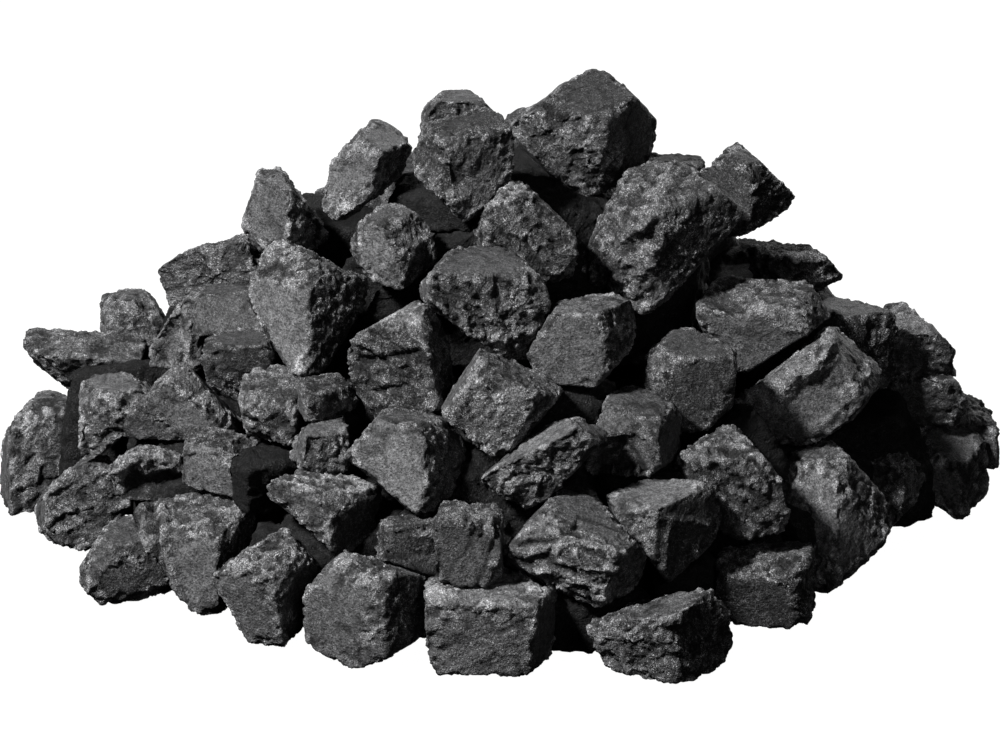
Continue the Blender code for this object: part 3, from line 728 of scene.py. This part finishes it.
def add_object(name, pieces, material, body, node):
    """One object from the surfaces of several lumps, on its body and in place of its CAD node."""
    points = np.concatenate([piece[0] for piece in pieces])
    starts = np.cumsum([0] + [len(piece[0]) for piece in pieces])
    quads = np.concatenate([piece[1] + start for piece, start in zip(pieces, starts)])
    looks = np.concatenate([piece[2] for piece in pieces])
    mesh = bpy.data.meshes.new(name)
    mesh.vertices.add(len(points))
    mesh.vertices.foreach_set("co", points.astype(np.float32).ravel())
    mesh.loops.add(quads.size)
    mesh.loops.foreach_set("vertex_index", quads.astype(np.int32).ravel())
    mesh.polygons.add(len(quads))
    mesh.polygons.foreach_set("loop_start", np.arange(0, quads.size, 4, dtype=np.int32))
    mesh.polygons.foreach_set("use_smooth", np.ones(len(quads), bool))
    mesh.update(calc_edges=True)
    layer = mesh.attributes.new("look", "FLOAT_COLOR", "POINT")
    layer.data.foreach_set("color", looks.astype(np.float32).ravel())
    mesh.materials.append(material)
    obj = bpy.data.objects.new(name, mesh)
    bpy.context.scene.collection.objects.link(obj)
    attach(obj, body)
    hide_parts(node)


def step_for(node):
    """The distance between the points of a node's mesh."""
    if node == "core_lumps":
        return CORE_STEP
    if node.startswith("back_"):
        return BACK_STEP
    if node.endswith("_lumps"):
        return CLUSTER_STEP
    return FINE_STEP


def make_lumps(material):
    """Every lump of every CAD node, as few objects to a node as MOST_QUADS allows."""
    bodies = frame["record"]["behaviour"]["bodies"]
    owner = {node: body for body, nodes in bodies.items() for node in nodes}
    for node, cad in sorted(frame["nodes"].items()):
        pieces, quads, made = [], 0, 0
        lumps = convex_lumps(cad.data)
        for i, corners in enumerate(lumps):
            lump = Lump(corners, f"{node}.{i}", step_for(node))
            points, look = shape(lump, STYLES.get(node, {}) if i == 0 else {})
            if node == "core_lumps":  # buried, so painted dark all over as painted shade
                look[:, WORN] *= CORE_WORN
                look[:, HOLLOW_SHADE] = 1.0
                look[:, TONE_AND_PAINTED_LIGHT] = 0.0
            pieces.append((points, lump.quads, look))
            quads += len(lump.quads)
            if quads > MOST_QUADS or i == len(lumps) - 1:
                name = f"{node}_surface" if made == 0 else f"{node}_surface_{made + 1}"
                add_object(name, pieces, material, owner[node], node)
                pieces, quads, made = [], 0, made + 1


# The material -----------------------------------------------------------------------------------


class Nodes:
    """A small helper that adds shader nodes and links them."""

    def __init__(self, material):
        material.use_nodes = True
        self.tree = material.node_tree
        self.shader = self.tree.nodes["Principled BSDF"]

    def put(self, target, value):
        if isinstance(value, bpy.types.NodeSocket):
            self.tree.links.new(value, target)
        else:
            target.default_value = value

    def add(self, kind, inputs=(), **settings):
        node = self.tree.nodes.new(kind)
        for key, value in settings.items():
            setattr(node, key, value)
        for key, value in dict(inputs).items():
            self.put(node.inputs[key], value)
        return node

    def math(self, operation, a, b):
        return self.add("ShaderNodeMath", {0: a, 1: b}, operation=operation).outputs[0]

    def ramp(self, value, low, high, to_low=0.0, to_high=1.0):
        """to_low where the value is low, to_high where it is high, and between them in between."""
        inputs = {"Value": value, "From Min": low, "From Max": high, "To Min": to_low, "To Max": to_high}
        return self.add("ShaderNodeMapRange", inputs, clamp=True).outputs["Result"]

    def noise(self, place, scale, detail, rough):
        inputs = {"Vector": place, "Scale": scale, "Detail": detail, "Roughness": rough}
        return self.add("ShaderNodeTexNoise", inputs).outputs["Fac"]


def charcoal_material():
    """Charcoal: its value is its tone with painted light and painted shade, mottled and grained, painted
    darker in the hollows as painted shade, and pale painted glints lie on it where it is rough.
    """
    material = bpy.data.materials.new("charcoal_surface")
    material.diffuse_color = (0.03, 0.03, 0.031, 1)
    n = Nodes(material)
    place = n.add("ShaderNodeTexCoord").outputs["Object"]
    look = n.add("ShaderNodeAttribute", attribute_name="look", attribute_type="GEOMETRY")
    parts = n.add("ShaderNodeSeparateColor", {"Color": look.outputs["Color"]})
    rough, worn, hollow_shade = parts.outputs["Red"], parts.outputs["Green"], parts.outputs["Blue"]
    tone_and_painted_light = look.outputs["Alpha"]

    # Noise, coarse to fine.
    dust = n.noise(place, DUST_SCALE, 4, 0.6)
    mottle = n.noise(place, MOTTLE_SCALE, 3, 0.6)
    grain = n.noise(place, GRAIN_SCALE, 3, 0.75)

    # Painted glints: pale colour on single crumbs, painted highlights where crumbs would catch the light,
    # and finer painted glints in patches.
    wobble = n.add("ShaderNodeTexNoise", {"Vector": place, "Scale": WOBBLE_SCALE, "Detail": 1})
    inputs = {0: wobble.outputs["Color"], 1: (WOBBLE, WOBBLE, WOBBLE)}
    shift = n.add("ShaderNodeVectorMath", inputs, operation="MULTIPLY").outputs["Vector"]
    shaken = n.add("ShaderNodeVectorMath", {0: place, 1: shift}, operation="ADD").outputs["Vector"]
    crumbs = n.add("ShaderNodeTexVoronoi", {"Vector": shaken, "Scale": CRUMB_SCALE}, feature="F1")
    glint_chance = n.add("ShaderNodeSeparateColor", {"Color": crumbs.outputs["Color"]}).outputs["Red"]
    crumb_glint = n.math("MULTIPLY", n.ramp(crumbs.outputs["Distance"], 0.5, 0.1), n.ramp(glint_chance, 0.45, 1.0))
    fleck_glints = n.ramp(n.noise(shaken, FLECK_GLINT_SCALE, 1, 0.5), 0.52, 0.70)
    glint_patches = n.ramp(n.noise(place, GLINT_PATCH_SCALE, 2, 0.6), 0.40, 0.60)
    painted_glints = n.math("ADD", n.math("MULTIPLY", crumb_glint, CRUMB_GLINT_SHARE), n.math("MULTIPLY", fleck_glints, glint_patches))
    painted_glints = n.math("MULTIPLY", painted_glints, n.ramp(n.math("ADD", rough, worn), 0.1, 1.4, *PAINTED_GLINT_VALUES))
    painted_glints = n.math("MULTIPLY", painted_glints, n.ramp(hollow_shade, 0, 1, 1.0, 0.1))

    # The tone: the lump's own paleness, with the painted light and painted shade of the faces named pale and
    # dark.
    value = n.ramp(tone_and_painted_light, 0, 1, DARKEST, PALEST)
    value = n.math("MULTIPLY", value, n.ramp(dust, 0.3, 0.7, 0.8, 1.25))
    value = n.math("MULTIPLY", value, n.ramp(mottle, 0.35, 0.65, 0.7, 1.35))
    value = n.math("MULTIPLY", value, n.ramp(grain, 0.35, 0.65, 0.3, 1.9))
    # Painted shade: the hollows are painted darker.
    value = n.math("MULTIPLY", value, n.ramp(hollow_shade, 0, 1, 1.0, 0.25))
    value = n.math("MULTIPLY", value, n.ramp(worn, 0, 1, 0.85, 2.1))
    # The painted glints, painted highlights, are added to the colour.
    value = n.math("ADD", value, painted_glints)
    blue = n.math("MULTIPLY", value, BLUENESS)
    color = n.add("ShaderNodeCombineColor", {"Red": value, "Green": value, "Blue": blue})
    n.put(n.shader.inputs["Base Color"], color.outputs["Color"])
    n.put(n.shader.inputs["Roughness"], n.ramp(rough, 0, 1, 0.62, 0.85))
    n.shader.inputs["Specular IOR Level"].default_value = CHARCOAL_SPECULAR

    bumps = n.math("SUBTRACT", grain, n.math("MULTIPLY", crumbs.outputs["Distance"], 0.6))
    bumps = n.math("MULTIPLY", bumps, n.ramp(rough, 0, 1, 0.4, 1.0))
    fine = n.add("ShaderNodeBump", {"Strength": 1.0, "Distance": FINE_BUMP, "Height": bumps})
    inputs = {"Strength": 0.55, "Distance": COARSE_BUMP, "Height": mottle, "Normal": fine.outputs["Normal"]}
    coarse = n.add("ShaderNodeBump", inputs)
    n.put(n.shader.inputs["Normal"], coarse.outputs["Normal"])
    return material


# The stage --------------------------------------------------------------------------------------


def floor_material():
    material = bpy.data.materials.new("floor_white")
    material.use_nodes = True
    shader = material.node_tree.nodes["Principled BSDF"]
    shader.inputs["Base Color"].default_value = (FLOOR_VALUE, FLOOR_VALUE, FLOOR_VALUE, 1)
    shader.inputs["Roughness"].default_value = 0.9
    shader.inputs["Specular IOR Level"].default_value = 0.1
    shader.inputs["Emission Color"].default_value = (1, 1, 1, 1)
    shader.inputs["Emission Strength"].default_value = FLOOR_GLOW
    return material


def make_floor():
    mesh = bpy.data.meshes.new("floor")
    corners = [(x * FLOOR_REACH, y * FLOOR_REACH, 0) for x, y in ((-1, -1), (1, -1), (1, 1), (-1, 1))]
    mesh.from_pydata(corners, [], [(0, 1, 2, 3)])
    mesh.materials.append(floor_material())
    floor = bpy.data.objects.new("floor", mesh)
    floor.location.z = -FLOOR_DROP
    floor.visible_diffuse = False
    floor.visible_glossy = False
    bpy.context.scene.collection.objects.link(floor)


def make_lamps():
    for name, (place, width, power) in LAMPS.items():
        lamp = bpy.data.lights.new(name, "AREA")
        lamp.shape = "DISK"
        lamp.size = width
        lamp.energy = power
        obj = bpy.data.objects.new(name, lamp)
        obj.location = place
        aim = Vector(LAMP_AIM) - Vector(place)
        obj.rotation_euler = aim.to_track_quat("-Z", "Y").to_euler()
        bpy.context.scene.collection.objects.link(obj)


def make_world():
    """A white world that only the camera sees: it lights nothing, so that the gaps stay dark."""
    world = bpy.data.worlds.new("studio")
    bpy.context.scene.world = world
    world.use_nodes = True
    background = world.node_tree.nodes["Background"]
    background.inputs["Color"].default_value = (1, 1, 1, 1)
    background.inputs["Strength"].default_value = 1.0
    world.cycles_visibility.diffuse = False
    world.cycles_visibility.glossy = False


def make_camera():
    camera = bpy.data.cameras.new("camera")
    camera.lens = LENS_MM
    camera.sensor_width = SENSOR_MM
    camera.clip_end = 5 * FLOOR_REACH
    obj = bpy.data.objects.new("camera", camera)
    aim = Vector((AIM_ACROSS, AIM_UP * math.sin(ELEVATION), AIM_UP * math.cos(ELEVATION)))
    obj.location = aim + DISTANCE * Vector((0, -math.cos(ELEVATION), math.sin(ELEVATION)))
    obj.rotation_euler = (math.pi / 2 - ELEVATION, 0, 0)
    bpy.context.scene.collection.objects.link(obj)
    bpy.context.scene.camera = obj


make_floor()
make_lamps()
make_world()
make_camera()
make_lumps(charcoal_material())
bpy.context.scene.view_settings.view_transform = "Standard"

bpy.context.view_layer.update()
